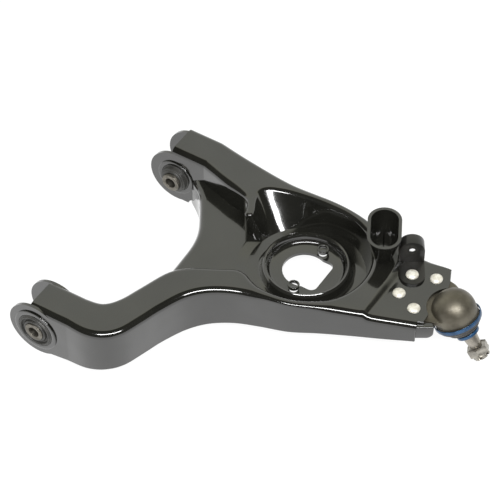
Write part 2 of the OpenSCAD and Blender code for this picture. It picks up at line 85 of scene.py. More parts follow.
def bevelled(piece, width, segments=3, angle=35):
    soft = piece.modifiers.new("edges", "BEVEL")
    soft.width = width * MM
    soft.segments = segments
    soft.limit_method = "ANGLE"
    soft.angle_limit = math.radians(angle)
    soft.harden_normals = False
    apply_modifiers(piece)


def even_shading(piece):
    weigh = piece.modifiers.new("even shading", "WEIGHTED_NORMAL")
    weigh.keep_sharp = True
    weigh.weight = 80
    apply_modifiers(piece)


def cut_away(piece, tool, operation="DIFFERENCE"):
    step = piece.modifiers.new("cut", "BOOLEAN")
    step.operation = operation
    step.solver = "MANIFOLD"
    step.object = tool
    apply_modifiers(piece)
    bpy.data.objects.remove(tool)


def linked(name, data):
    """A new object in the scene that shows the given data."""
    item = bpy.data.objects.new(name, data)
    bpy.context.scene.collection.objects.link(item)
    return item


def loft_object(name, mesh):
    """A piece made from a bmesh, with its faces turned one way."""
    data = bpy.data.meshes.new(name)
    mesh.to_mesh(data)
    mesh.free()
    piece = linked(name, data)
    activate(piece)
    bpy.ops.object.mode_set(mode="EDIT")
    bpy.ops.mesh.select_all(action="SELECT")
    bpy.ops.mesh.normals_make_consistent(inside=False)
    bpy.ops.object.mode_set(mode="OBJECT")
    return piece


def give_thickness(piece, thickness, even=True):
    """Turns a skin into a sheet that grows inward, in mm."""
    wall = piece.modifiers.new("sheet", "SOLIDIFY")
    wall.thickness = thickness * MM
    wall.offset = -1
    wall.use_even_offset = even
    apply_modifiers(piece)


def drill(piece, radius, x, y, z, depth, vertices=48):
    """Cuts an upright round hole, in mm."""
    deselect()
    bpy.ops.mesh.primitive_cylinder_add(vertices=vertices, radius=radius * MM, depth=depth * MM,
                                        location=(x * MM, y * MM, z * MM))
    cut_away(piece, bpy.context.object)


def cad_copy(node, name):
    """A merged copy of a CAD node, to be given softer edges."""
    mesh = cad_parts[node].data.copy()
    mesh.name = name
    piece = linked(name, mesh)
    mesh.materials.clear()
    activate(piece)
    bpy.ops.object.mode_set(mode="EDIT")
    bpy.ops.mesh.select_all(action="SELECT")
    bpy.ops.mesh.remove_doubles(threshold=0.005 * MM)
    bpy.ops.mesh.dissolve_limited(angle_limit=math.radians(0.5))
    bpy.ops.object.mode_set(mode="OBJECT")
    return piece


def finish_piece(piece, body, slot, material, *nodes):
    piece.data.materials.clear()
    piece.data.materials.append(material)
    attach(piece, body)
    if nodes:
        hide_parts(*nodes)


def frame_at(origin, direction):
    """Matrix whose +Z runs along direction, from origin."""
    z = Vector(direction).normalized()
    x = Vector((0, 1, 0)).cross(z).normalized() if abs(z.y) < 0.9 else Vector((1, 0, 0))
    y = z.cross(x)
    turn = Matrix((x, y, z)).transposed().to_4x4()
    return Matrix.Translation(Vector(origin) * MM) @ turn


def turned(name, profile, place, steps=96, closed_profile=True):
    """A piece turned on a lathe: profile is a list of (radius, height) in mm."""
    deselect()
    bpy.ops.mesh.primitive_plane_add(size=MM)
    piece = bpy.context.object
    bpy.ops.object.mode_set(mode="EDIT")
    bpy.ops.mesh.delete(type="VERT")
    edit = bmesh.from_edit_mesh(piece.data)
    row = [edit.verts.new((max(r, 0) * MM, 0, h * MM)) for r, h in profile]
    ends = row[1:] + row[:1] if closed_profile else row[1:]
    for a, b in zip(row, ends):
        edit.edges.new((a, b))
    bmesh.update_edit_mesh(piece.data)
    bpy.ops.mesh.select_all(action="SELECT")
    bpy.ops.mesh.spin(steps=steps, angle=math.tau, center=(0, 0, 0), axis=(0, 0, 1))
    bpy.ops.mesh.select_all(action="SELECT")
    bpy.ops.mesh.remove_doubles(threshold=0.004 * MM)
    bpy.ops.mesh.normals_make_consistent(inside=False)
    bpy.ops.object.mode_set(mode="OBJECT")
    piece.data.transform(place)
    return name_piece(name)


def round_off(piece, edges, radius, segments=10):
    """Bevels chosen edges of a piece in edit mode."""
    chosen = [e.index for e in edges]
    activate(piece)
    bpy.ops.object.mode_set(mode="EDIT")
    bpy.ops.mesh.select_mode(type="EDGE")
    bpy.ops.mesh.select_all(action="DESELECT")
    bpy.ops.object.mode_set(mode="OBJECT")
    for index in chosen:
        piece.data.edges[index].select = True
    bpy.ops.object.mode_set(mode="EDIT")
    bpy.ops.mesh.bevel(offset=radius * MM, offset_type="OFFSET", segments=segments, affect="EDGES",
                       clamp_overlap=False)
    bpy.ops.mesh.remove_doubles(threshold=0.01 * MM)
    bpy.ops.object.mode_set(mode="OBJECT")


def pick_faces(piece, test):
    """Goes into edit mode with only the faces selected that pass a test."""
    activate(piece)
    bpy.ops.object.mode_set(mode="EDIT")
    bpy.ops.mesh.select_mode(type="FACE")
    bpy.ops.mesh.select_all(action="DESELECT")
    bpy.ops.object.mode_set(mode="OBJECT")
    for face in piece.data.polygons:
        face.select = test(face)
    bpy.ops.object.mode_set(mode="EDIT")


# ---------------------------------------------------------------- sizes of the pressing, in mm

SHEET = 4
BEND = 8.5
WEB_BEND = 9
LEG = 24
SPAN = 307
EAR_R = 38.9
POCKET = Vector((231, -82))
POCKET_TOP_R = 80
POCKET_FLOOR_R = 74
SEAT_Z = 8
WEB_Z = 12
BODY_Z = 45
PLATE_Z = 41
STRAIGHT_Z = 47
CURVED_Z = 40
BALL = Vector((426, -63, 35))
HOUSING_AXIS = Vector((math.sin(math.radians(27)), 0, -math.cos(math.radians(27))))
STUD_AXIS = Vector((math.sin(math.radians(37)), 0, -math.cos(math.radians(37))))
STRAIGHT_SHELL_R = 22
CURVED_SHELL_R = 26
BORE_PLAY = 0.05
DAMPER_HOLE_R = 5.25
RIVET_HOLE_R = 5.02
RIVET_HEAD_R = 8
SEAT_SHEET = 3.9
BOOT_SKIN = 2.2
WEB_RIM_R = 84
WEB_TIP = Vector((137, -64))
WEB_TIP_R = 6
LEG_MEETS_RIM = Vector((176, -146))
RIVETS = [(359, -47), (386, -35), (359, -79), (386, -91)]
ARM_NODES = ("straight_leg", "curved_leg", "low_web", "pocket_far_inboard", "pocket_far_outboard",
             "pocket_near_inboard", "pocket_near_outboard", "ball_joint_plate")
NEAR_Y = -SPAN - LEG
FAR_Y = -SPAN + LEG

FAR_LINE = [(42, 24), (90, 16), (153, 9), (205, 11), (255, 7), (317, -7), (345, -10.5), (394, -11)]
NEAR_LINE = [(45, NEAR_Y), (74, NEAR_Y - 1), (97, NEAR_Y + 7), (112, NEAR_Y + 24),
             (122, NEAR_Y + 52), (131, NEAR_Y + 80), (144, NEAR_Y + 110), (163, NEAR_Y + 131),
             (190, NEAR_Y + 146), (222, -176), (258, -168), (292, -154), (330, -140),
             (362, -129), (402, -114.3)]
CURVE_LINE = [(45, FAR_Y), (65, FAR_Y + 4), (78, FAR_Y + 20), (88, FAR_Y + 47),
              (103, FAR_Y + 87), (124, FAR_Y + 108), (150, FAR_Y + 122), (176, -146)]
STRAIGHT_LINE = [(42, -24), (60, -29), (84, -36), (106, -40.5), (119, -45), (127, -54), (131, -64)]
# the pocket's rim runs on past its circle to a corner beside the straight leg
CORNER_LINE = [(224, -2.3), (200, -4), (176, -8), (152, -14), (137, -20), (131, -29), (134, -42),
               (140, -55), (143, -64)]
WEB_LINE = [(42, -24), (60, -30), (84, -38), (112, -44), (158, -50)]
BAY_LINE = [(22, -22), (38, -34), (50, -46), (66, -70), (80, -95), (87, -120), (89, -150),
            (90, -180), (91, FAR_Y + 40)]


def smooth_line(points, steps):
    """A smooth curve through points, with so many steps between each two."""
    out = []
    last = len(points) - 1
    for i in range(last):
        a, b, c, d = (Vector(points[min(max(k, 0), last)]) for k in (i - 1, i, i + 1, i + 2))
        for k in range(steps):
            t = k / steps
            out.append(0.5 * ((2 * b) + (c - a) * t + (2 * a - 5 * b + 4 * c - d) * t * t
                              + (3 * b - a - 3 * c + d) * t * t * t))
    out.append(Vector(points[-1]))
    return out


def lefts(line):
    """The unit vector to the left of each point of a line."""
    out = []
    for i in range(len(line)):
        before = (line[i] - line[i - 1]).normalized() if i else None
        after = (line[i + 1] - line[i]).normalized() if i + 1 < len(line) else None
        before = before or after
        after = after or before
        way = before + after
        normal = Vector((-way.y, way.x)).normalized()
        out.append(normal / max(0.5, normal.dot(Vector((-after.y, after.x)))))
    return out


def rounded_corner(a, corner, b, steps=10):
    """Points from a to b round a corner that both lines aim at."""
    out = []
    for k in range(1, steps):
        t = k / steps
        out.append((1 - t) ** 2 * a + 2 * t * (1 - t) * corner + t * t * b)
    return out


def ease(t):
    """Soft step from 0 to 1."""
    t = min(1, max(0, t))
    return t * t * (3 - 2 * t)


def roof(x, y):
    """Height of the arm's top face."""
    start = STRAIGHT_Z if y > POCKET.y else CURVED_Z
    if x < POCKET.x:
        return start + (BODY_Z - start) * x / POCKET.x
    width = 15 - 8 * min(1, max(0, (-y - 40) / 75))
    return BODY_Z - (BODY_Z - PLATE_Z) * ease((x - 341 + width / 2) / width)


def between(x, table):
    """Height at x on a line of (x, height) corners."""
    for (x0, z0), (x1, z1) in zip(table, table[1:]):
        if x <= x1:
            return z0 + (z1 - z0) * max(0, x - x0) / (x1 - x0)
    return table[-1][1]


def skirt(x, y):
    """Height of the walls' lower edge."""
    straight = between(x, [(-99, -38), (50, -38), (110, -26), (160, -18), (400, 13)])
    curved = between(x, [(-99, -38), (0, -37), (100, -20), (160, -18), (400, 13)])
    return straight + (curved - straight) * ease((-200 - y) / 60)


# ---------------------------------------------------------------- the pressed arm

def bent_run(mesh, line, bend, foot, height, rings=7, wall_rings=5):
    """Lofts a bend and a wall down from a line; returns the loop that the flat face meets.
    line is in plan, with the outside on its left; foot(k, point) is the wall's lower end in 3-D."""
    stations = []
    for k, (p, n) in enumerate(zip(line, lefts(line))):
        r = bend(p) if callable(bend) else bend
        start = p - n * r
        top = height(start.x, start.y)
        low = foot(k, p)
        out = max(0, (Vector(low[:2]) - p).dot(n))
        steep = math.atan2(top - low[2], out) if out > 1 else math.pi / 2
        stations.append((start, n, r, top, low, steep))
    loops = []
    for k in range(rings + 1):
        loops.append([mesh.verts.new((*(start + n * r * math.sin(steep * k / rings)),
                                      top - r * (1 - math.cos(steep * k / rings))))
                      for start, n, r, top, low, steep in stations])
    for k in range(1, wall_rings + 1):
        loops.append([mesh.verts.new(v.co.lerp(Vector(station[4]), k / wall_rings))
                      for v, station in zip(loops[rings], stations)])
    for upper, lower in zip(loops, loops[1:]):
        for i in range(len(line) - 1):
            mesh.faces.new((upper[i], upper[i + 1], lower[i + 1], lower[i]))
    return loops[0]


def ring_points(radius, start, end, count, centre=POCKET):
    """Points on an arc in plan, between two angles in degrees."""
    return [centre + radius * Vector((math.cos(math.radians(start + (end - start) * k / count)),
                                      math.sin(math.radians(start + (end - start) * k / count))))
            for k in range(count + 1)]


def sheet_object(name, mesh, thickness):
    """A sheet whose outer skin is a bmesh in mm."""
    for v in mesh.verts:
        v.co *= MM
    piece = loft_object(name, mesh)
    up = sum(f.normal.z * f.area for f in piece.data.polygons)
    if up < 0:
        piece.data.flip_normals()
    give_thickness(piece, thickness)
    return piece


def pressed_top():
    """The body and both legs as one bent sheet, before its walls get their thickness."""
    mesh = bmesh.new()
    far = [Vector((-5, LEG)), Vector((18, LEG))] + smooth_line(FAR_LINE, 7)
    near = [Vector((-7, NEAR_Y)), Vector((18, NEAR_Y))] + smooth_line(NEAR_LINE, 6)
    near.reverse()
    curve = [Vector((-7, FAR_Y)), Vector((18, FAR_Y))] + smooth_line(CURVE_LINE, 6)
    straight = [Vector((-5, -LEG)), Vector((18, -LEG))] + smooth_line(STRAIGHT_LINE, 6)
    straight.reverse()
    while (curve[-1] - LEG_MEETS_RIM).length < 13:
        curve.pop()
    rim = ring_points(POCKET_TOP_R, 229.3 + 10 - 360, 93, 72)
    corner = smooth_line(CORNER_LINE, 7)
    tip = ring_points(WEB_TIP_R, 0, -180, 12, WEB_TIP)[1:-1]
    inner = (curve + rounded_corner(curve[-1], Vector((177, -145)), rim[0]) + rim + corner + tip
             + straight)
    tip_start = len(inner) - len(straight) - len(tip)
    outer = far + near

    def land_bend(p):
        """Half of the narrow land between the pocket's rim and the outer wall, or the full bend."""
        return min(BEND, 0.44 * ((p - POCKET).length - POCKET_TOP_R))

    def far_bend(p):
        return min(land_bend(p), BEND - (BEND - 1.5) * ease((p.x - 360) / 34))

    def inner_bend(p):
        narrow = 4.2 + 0.1 * max(0, (p - WEB_TIP).length - 12)
        return min(BEND, narrow, 0.44 * min((q - p).length for q in outer))

    def inner_foot(k, p):
        """On the pocket's floor circle below its rim, straight down to the web elsewhere."""
        if p.x <= 30 and p.y > POCKET.y or p.x <= 93 and p.y < -222:
            return (p.x, p.y, skirt(p.x, p.y))
        away = (p - POCKET).length
        if k < tip_start:
            share = 1 if k > len(curve) + 30 else 1 - ease((away - POCKET_TOP_R) / 6)
        else:
            share = 1 - ease((k - tip_start) / len(tip))
        floor = POCKET + (p - POCKET) * POCKET_FLOOR_R / away
        q = p.lerp(floor, share)
        return (q.x, q.y, (WEB_Z - 3.5) * (1 - share) + (SEAT_Z + 0.05) * share)

    def base(k, p):
        return (p.x, p.y, skirt(p.x, p.y))

    far_loop = bent_run(mesh, far, far_bend, base, roof)
    near_loop = bent_run(mesh, near, land_bend, base, roof)
    inner_loop = bent_run(mesh, inner, inner_bend, inner_foot, roof)

    notch = ring_points(31, 128, 232, 22, Vector((424, -65)))
    edge = [Vector((404, -34))] + [p for p in notch if p.x <= 406.2] + [Vector((406, -103))]
    plate = [mesh.verts.new((p.x, p.y, roof(p.x, p.y))) for p in edge]
    flat = mesh.faces.new(list(reversed(far_loop + plate + near_loop + inner_loop)))
    flat.normal_update()
    flat_faces = bmesh.ops.triangulate(mesh, faces=[flat])["faces"]
    # the flat face is split where its height changes: above the pocket and across the step
    for x in [POCKET.x] + [333 + 1.2 * k for k in range(15)]:
        parts = set(flat_faces)
        geometry = list({v for f in parts for v in f.verts} | {e for f in parts for e in f.edges} | parts)
        before = set(mesh.faces)
        bmesh.ops.bisect_plane(mesh, geom=geometry, plane_co=(x, 0, 0), plane_no=(1, 0, 0))
        flat_faces = [f for f in mesh.faces if f in parts or f not in before]
    for f in flat_faces:
        for v in f.verts:
            v.co.z = roof(v.co.x, v.co.y)
    return sheet_object("arm_pressing", mesh, SHEET)


def pressed_web():
    """The low web between the legs, with its free edge turned down round the bay."""
    mesh = bmesh.new()
    bay = smooth_line(BAY_LINE, 6)
    bay.reverse()
    rim = ring_points(WEB_RIM_R, 158, 228, 30)

    def base(k, p):
        return (p.x, p.y, skirt(p.x, p.y) + 0.1)

    def seat_edge(k, p):
        q = POCKET + (p - POCKET) * (POCKET_FLOOR_R + 0.6) / WEB_RIM_R
        return (q.x, q.y, SEAT_Z + 0.05)

    def level(x, y):
        return WEB_Z

    bay_loop = bent_run(mesh, bay, WEB_BEND, base, level)
    rim_loop = bent_run(mesh, rim, 3.9, seat_edge, level, rings=5, wall_rings=2)
    upper = [p + Vector((0, 2)) for p in smooth_line(WEB_LINE, 6)]
    curve = smooth_line(CURVE_LINE, 6)
    lower = [p - 2 * n for p, n in zip(curve, lefts(curve))]
    upper = [p for p in upper if 44 < p.x < 146]
    lower = [p for p in lower if p.x > 96 and p.x < 172]
    mid = [mesh.verts.new((p.x, p.y, WEB_Z)) for p in upper]
    low = [mesh.verts.new((p.x, p.y, WEB_Z)) for p in reversed(lower)]
    mesh.faces.new(list(reversed(bay_loop + mid + rim_loop + low))).normal_update()
    return sheet_object("web_pressing", mesh, SHEET)


def disc(radius, y0, y1):
    """A round slab on the pivot axis, from y0 to y1."""
    deselect()
    bpy.ops.mesh.primitive_cylinder_add(vertices=128, radius=radius * MM, depth=(y1 - y0) * MM,
                                        location=(0, (y0 + y1) / 2 * MM, 0),
                                        rotation=(math.pi / 2, 0, 0))
    bpy.ops.object.transform_apply(location=True, rotation=True, scale=True)
    return bpy.context.object


def build_arm(material):
    """The whole pressing: top, walls, low web, ears and its holes."""
    arm = pressed_top()
    points = arm.data.vertices
    wall_end = []
    for edge in arm.data.edges:
        a, b = (points[v].co / MM for v in edge.vertices)
        upright = abs(a.z - b.z) > 2 and (a.xy - b.xy).length < 0.6
        if upright and min(a.x, b.x) > 397 and max(a.y, b.y) < -108:
            wall_end.append(edge)
    round_off(arm, wall_end, 1.6, 4)
    cut_away(arm, pressed_web(), "UNION")
    for middle in (0, -SPAN):
        cut_away(arm, disc(EAR_R, middle + LEG - SHEET, middle + LEG), "UNION")
        cut_away(arm, disc(EAR_R, middle - LEG, middle - LEG + SHEET), "UNION")
    for middle, shell_r in ((0, STRAIGHT_SHELL_R), (-SPAN, CURVED_SHELL_R)):
        cut_away(arm, disc(shell_r + BORE_PLAY, middle - 40, middle + 40))
    for x, y in RIVETS:
        drill(arm, RIVET_HOLE_R, x, y, PLATE_Z, 20)
    arm.name = "pressed_arm"
    smooth_by(arm, 32)
    even_shading(arm)
    finish_piece(arm, "arm", "black_paint", material, *ARM_NODES)


# ---------------------------------------------------------------- materials

def skin_group():
    """Uneven skin: a slow cloudy mask, a fine mask and a bump height, all from the piece's own space."""
    group = bpy.data.node_groups.new("uneven_skin", "ShaderNodeTree")
    for name, default in (("Cloud Scale", 20.0), ("Fine Scale", 300.0)):
        socket = group.interface.new_socket(name, in_out="INPUT", socket_type="NodeSocketFloat")
        socket.default_value = default
    for name in ("Cloud", "Fine", "Height"):
        group.interface.new_socket(name, in_out="OUTPUT", socket_type="NodeSocketFloat")
    inward = group.nodes.new("NodeGroupInput")
    out = group.nodes.new("NodeGroupOutput")
    where = group.nodes.new("ShaderNodeTexCoord")
    cloud = group.nodes.new("ShaderNodeTexNoise")
    cloud.inputs["Detail"].default_value = 4
    fine = group.nodes.new("ShaderNodeTexNoise")
    fine.inputs["Detail"].default_value = 3
    fine.inputs["Roughness"].default_value = 0.6
    contrast = group.nodes.new("ShaderNodeMapRange")
    contrast.inputs["From Min"].default_value = 0.35
    contrast.inputs["From Max"].default_value = 0.65
    blend = group.nodes.new("ShaderNodeMath")
    blend.operation = "MULTIPLY_ADD"
    blend.inputs[1].default_value = 0.3
    link = group.links.new
    link(where.outputs["Object"], cloud.inputs["Vector"])
    link(where.outputs["Object"], fine.inputs["Vector"])
    link(inward.outputs["Cloud Scale"], cloud.inputs["Scale"])
    link(inward.outputs["Fine Scale"], fine.inputs["Scale"])
    link(cloud.outputs["Fac"], contrast.inputs["Value"])
    link(contrast.outputs["Result"], out.inputs["Cloud"])
    link(fine.outputs["Fac"], out.inputs["Fine"])
    link(cloud.outputs["Fac"], blend.inputs[0])
    link(fine.outputs["Fac"], blend.inputs[2])
    link(blend.outputs["Value"], out.inputs["Height"])
    return group


SKIN = skin_group()
SKIN_IOR = 1.5
WAVE_SCALE = 22


def finish_material(name, dark, light, rough, cloud, fine, bump, metallic=0.0, coat=0.0,
                    coat_rough=0.05, specular=0.5, wave=0.0):
    """dark and light are the two base colours that the cloudy mask mixes; rough is (low, high).
    bump is (strength, depth in mm), and wave is the depth in mm of slow waves in the surface."""
    material = bpy.data.materials.new(name)
    material.use_nodes = True
    tree = material.node_tree
    shader = tree.nodes["Principled BSDF"]
    skin = tree.nodes.new("ShaderNodeGroup")
    skin.node_tree = SKIN
    skin.inputs["Cloud Scale"].default_value = cloud
    skin.inputs["Fine Scale"].default_value = fine
    tint = tree.nodes.new("ShaderNodeMix")
    tint.data_type = "RGBA"
    tint.inputs[6].default_value = (*dark, 1)
    tint.inputs[7].default_value = (*light, 1)
    sheen = tree.nodes.new("ShaderNodeMapRange")
    sheen.inputs["To Min"].default_value = rough[0]
    sheen.inputs["To Max"].default_value = rough[1]
    dents = tree.nodes.new("ShaderNodeBump")
    dents.inputs["Strength"].default_value = bump[0]
    dents.inputs["Distance"].default_value = bump[1] * MM
    link = tree.links.new
    link(skin.outputs["Cloud"], tint.inputs[0])
    link(tint.outputs[2], shader.inputs["Base Color"])
    link(skin.outputs["Fine"], sheen.inputs["Value"])
    link(sheen.outputs["Result"], shader.inputs["Roughness"])
    link(skin.outputs["Height"], dents.inputs["Height"])
    link(dents.outputs["Normal"], shader.inputs["Normal"])
    if wave:
        swell = tree.nodes.new("ShaderNodeTexNoise")
        swell.inputs["Scale"].default_value = WAVE_SCALE
        swell.inputs["Detail"].default_value = 1
        place = tree.nodes.new("ShaderNodeTexCoord")
        waves = tree.nodes.new("ShaderNodeBump")
        waves.inputs["Strength"].default_value = 1.0
        waves.inputs["Distance"].default_value = wave * MM
        link(place.outputs["Object"], swell.inputs["Vector"])
        link(swell.outputs["Fac"], waves.inputs["Height"])
        link(waves.outputs["Normal"], dents.inputs["Normal"])
        link(waves.outputs["Normal"], shader.inputs["Coat Normal"])
    shader.inputs["Metallic"].default_value = metallic
    shader.inputs["Coat Weight"].default_value = coat
    shader.inputs["Coat Roughness"].default_value = coat_rough
    shader.inputs["Specular IOR Level"].default_value = specular
    shader.inputs["IOR"].default_value = SKIN_IOR
    return material


paint = finish_material("black_gloss_paint", (0.006, 0.006, 0.005), (0.012, 0.012, 0.010),
                        (0.10, 0.17), 14, 260, (0.03, 0.03), coat=1.0, coat_rough=0.03, specular=0.62,
                        wave=0.7)
satin = finish_material("black_satin_paint", (0.006, 0.006, 0.0055), (0.014, 0.013, 0.011),
                        (0.30, 0.46), 30, 500, (0.12, 0.05), coat=0.25, coat_rough=0.2, specular=0.5)
forged = finish_material("oiled_forged_steel", (0.085, 0.075, 0.055), (0.17, 0.155, 0.12),
                         (0.36, 0.54), 45, 700, (0.35, 0.25), metallic=0.75, coat=0.2, coat_rough=0.3)
rivet_metal = finish_material("pale_rivet_plate", (0.62, 0.59, 0.50), (0.86, 0.84, 0.76),
                              (0.28, 0.50), 260, 900, (0.5, 0.35), metallic=0.35)
zinc = finish_material("dull_zinc", (0.30, 0.28, 0.24), (0.48, 0.46, 0.41),
                       (0.30, 0.48), 120, 900, (0.25, 0.12), metallic=0.9)
sleeve_steel = finish_material("bare_sleeve_steel", (0.13, 0.12, 0.10), (0.24, 0.225, 0.195),
                               (0.34, 0.52), 160, 900, (0.25, 0.12), metallic=0.9)
steel = finish_material("turned_steel", (0.24, 0.22, 0.19), (0.42, 0.39, 0.34),
                        (0.25, 0.42), 100, 1200, (0.2, 0.1), metallic=0.9)
boot_rubber = finish_material("boot_rubber", (0.018, 0.018, 0.018), (0.035, 0.034, 0.032),
                              (0.35, 0.55), 60, 800, (0.3, 0.15), specular=0.6)
bush_rubber = finish_material("bushing_rubber", (0.020, 0.020, 0.018), (0.045, 0.044, 0.040),
                              (0.38, 0.60), 90, 900, (0.3, 0.2), specular=0.6)
band_blue = finish_material("blue_band", (0.010, 0.042, 0.10), (0.024, 0.085, 0.19),
                            (0.25, 0.4), 120, 900, (0.15, 0.1), metallic=0.4, coat=0.4)
nylon = finish_material("seat_nylon", (0.62, 0.60, 0.52), (0.72, 0.70, 0.62),
                        (0.4, 0.55), 80, 600, (0.1, 0.1))


# ---------------------------------------------------------------- spring seat, cup and softened pieces

def build_spring_seat(material):
    """The pocket's floor: a flat ring for the spring, a round ridge and a sunk middle with its holes."""
    profile = [(77.8, 8), (62, 8), (58.6, 8.5), (56.6, 10.4), (55.8, 14), (55.3, 18.5), (54.3, 21.4),
               (52.4, 22.8), (50.4, 22.2), (49, 20), (48.2, 16), (47, 12.4), (45, 10.6), (42, 10),
               (16, 10)]
    place = Matrix.Translation((POCKET.x * MM, POCKET.y * MM, 0))
    seat = turned("spring_seat_plate", profile, place, 144, closed_profile=False)
    if seat.data.polygons[0].normal.z < 0:
        seat.data.flip_normals()
    give_thickness(seat, SEAT_SHEET)
    drill(seat, 28, POCKET.x - 2, POCKET.y, 10, 40, 96)
    deselect()
    bpy.ops.mesh.primitive_cube_add(size=1, location=((POCKET.x + 10) * MM, POCKET.y * MM, 0.01))
    square = bpy.context.object
    square.scale = (32 * MM, 52 * MM, 40 * MM)
    bpy.ops.object.transform_apply(location=True, rotation=True, scale=True)
    corners = [e for e in square.data.edges
               if all(square.data.vertices[v].co.x > POCKET.x * MM for v in e.vertices)
               and abs(square.data.vertices[e.vertices[0]].co.z
                       - square.data.vertices[e.vertices[1]].co.z) > 0.01]
    round_off(square, corners, 8)
    cut_away(seat, square)
    for side in (-1, 1):
        drill(seat, DAMPER_HOLE_R, POCKET.x + 3, POCKET.y + side * 35, 10, 40)
    smooth_by(seat, 40)
    finish_piece(seat, "arm", "black_paint", material, "spring_seat")


def build_cup(material):
    """Oval cup with leaning sides, drawn up from a block and hollowed from its rim."""
    length, width, height, lean, wall = 70, 42, 36, 9, 4
    deselect()
    bpy.ops.mesh.primitive_cube_add(size=1, location=(0, 0, height / 2 * MM))
    cup = bpy.context.object
    cup.scale = (width * MM, length * MM, height * MM)
    bpy.ops.object.transform_apply(location=True, rotation=True, scale=True)
    points = cup.data.vertices
    upright = [e for e in cup.data.edges
               if abs(points[e.vertices[0]].co.z - points[e.vertices[1]].co.z) > 0.01]
    round_off(cup, upright, width / 2 - 0.05, 20)

    def scaled(d, l=length, w=width):
        """Factors that draw an oval of l by w in by d all round."""
        return ((w - 2 * d) / w, (l - 2 * d) / l, 1)

    pick_faces(cup, lambda f: f.normal.z < -0.9)
    bpy.ops.transform.resize(value=scaled(lean), center_override=(0, 0, 0))
    bpy.ops.object.mode_set(mode="OBJECT")
    pick_faces(cup, lambda f: f.normal.z > 0.9)
    bpy.ops.mesh.inset(thickness=wall * MM, depth=0)
    bpy.ops.mesh.extrude_region_move(TRANSFORM_OT_translate={"value": (0, 0, -(height - wall) * MM)})
    inner_l, inner_w = length - 2 * wall, width - 2 * wall
    bpy.ops.transform.resize(value=scaled(lean * (height - wall) / height, inner_l, inner_w),
                             center_override=(0, 0, wall * MM))
    bpy.ops.object.mode_set(mode="OBJECT")
    bevelled(cup, 1.5, 4, 50)
    centre = POCKET + 93.8 * Vector((math.cos(math.radians(34.8)), math.sin(math.radians(34.8))))
    cup.data.transform(Matrix.Translation((centre.x * MM, centre.y * MM, BODY_Z * MM))
                       @ Matrix.Rotation(math.radians(28), 4, "Z"))
    cup.name = "oval_cup"
    smooth_by(cup, 50)
    even_shading(cup)
    finish_piece(cup, "arm", "black_paint", material, "bump_stop_cup")


def softened(node, name, body, slot, material, width, angle=35, smooth=40):
    """A CAD node's shape with its sharp edges rounded."""
    piece = cad_copy(node, name)
    bevelled(piece, width, 3, angle)
    smooth_by(piece, smooth)
    finish_piece(piece, body, slot, material, node)


# ---------------------------------------------------------------- turned pieces

def ball_frame(axis):
    """Matrix with its origin in the ball's centre and +Z along an axis."""
    return frame_at(BALL, axis)


def rounded(corners, radius):
    """A profile with each of its corners cut by a small arc; corners are (r, h) in mm."""
    out = []
    count = len(corners)
    for i, corner in enumerate(corners):
        here = Vector(corner)
        back = Vector(corners[i - 1]) - here
        on = Vector(corners[(i + 1) % count]) - here
        cut = min(radius, 0.45 * back.length, 0.45 * on.length)
        a, b = here + back.normalized() * cut, here + on.normalized() * cut
        out += [tuple((1 - t) ** 2 * a + 2 * t * (1 - t) * here + t * t * b) for t in (0, 0.33, 0.67, 1)]
    return out


def lathe(name, corners, radius, place, body, slot, material, *nodes):
    """A finished turned piece whose corners are rounded."""
    piece = turned(name, rounded(corners, radius), place)
    smooth_by(piece, 38)
    finish_piece(piece, body, slot, material, *nodes)


def build_bushing(name, middle, shell_r, boss_corners, sleeve_half, body, far_boss):
    """Flanged shell, bonded rubber and inner sleeve, turned on the pivot axis."""
    place = frame_at((0, middle, 0), (0, -1, 0))
    inner = shell_r - 2
    lathe(name + "_flanged_shell",
          [(inner, -25), (shell_r, -25), (shell_r, 24), (shell_r + 4, 24), (shell_r + 4, 26), (inner, 26)],
          0.8, place, "arm", "black_paint", paint, name + "_shell")
    back = [(12.55, far_boss), (inner - 1.5, far_boss), (inner - 1.5, -25.2), (inner, -25)]
    lathe(name + "_bonded_rubber", back + boss_corners, 0.9, place, "arm", "bushing_rubber", bush_rubber,
          name + "_rubber")
    lathe(name + "_inner_sleeve",
          [(7.25, -sleeve_half), (12.5, -sleeve_half), (12.5, sleeve_half), (7.25, sleeve_half)],
          0.7, place, body, "zinc_plate", sleeve_steel, name + "_sleeve")


def build_rivets(material):
    """Round heads above the plate, closed heads below the flange."""
    for k, (x, y) in enumerate(RIVETS):
        top = PLATE_Z + (3 if k == 0 else 0)
        base = PLATE_Z - SHEET - 6
        head = [(RIVET_HEAD_R * math.sin(a), top + 0.3 + 4.2 * math.cos(a)) for a in
                (math.radians(d) for d in (0, 12, 24, 36, 48, 60, 72, 82, 90))]
        profile = head + [(7.9, top), (4.98, top), (4.98, base), (RIVET_HEAD_R, base), (7.6, base - 1),
                          (6.5, base - 2.25), (0, base - 2.25)]
        piece = turned(f"rivet_{k + 1}", profile, Matrix.Translation((x * MM, y * MM, 0)), 48,
                       closed_profile=False)
        smooth_by(piece, 40)
        finish_piece(piece, "arm", "rivet_heads", material, "ball_joint_rivets")


def build_stud(material):
    """Ball, neck, taper and thread on one axis."""
    ball = [(15 * math.sin(math.radians(a)), -15 * math.cos(math.radians(a))) for a in range(0, 146, 5)]
    shank = [(8, 14.2), (8, 23), (9.5, 28), (9.5, 37), (7.6, 55), (6.6, 55.4)]
    thread = []
    turn = 56.2
    while turn < 72.4:
        thread += [(6.35, turn), (7.0, turn + 0.7), (7.0, turn + 0.85)]
        turn += 1.5
    tip = [(6.4, 72.6), (5.4, 73.6), (4.4, 74), (0, 74)]
    piece = turned("tapered_stud", ball + shank + thread + tip, ball_frame(STUD_AXIS), 72,
                   closed_profile=False)
    smooth_by(piece, 35)
    finish_piece(piece, "stud", "machined_steel", material, "ball_stud")


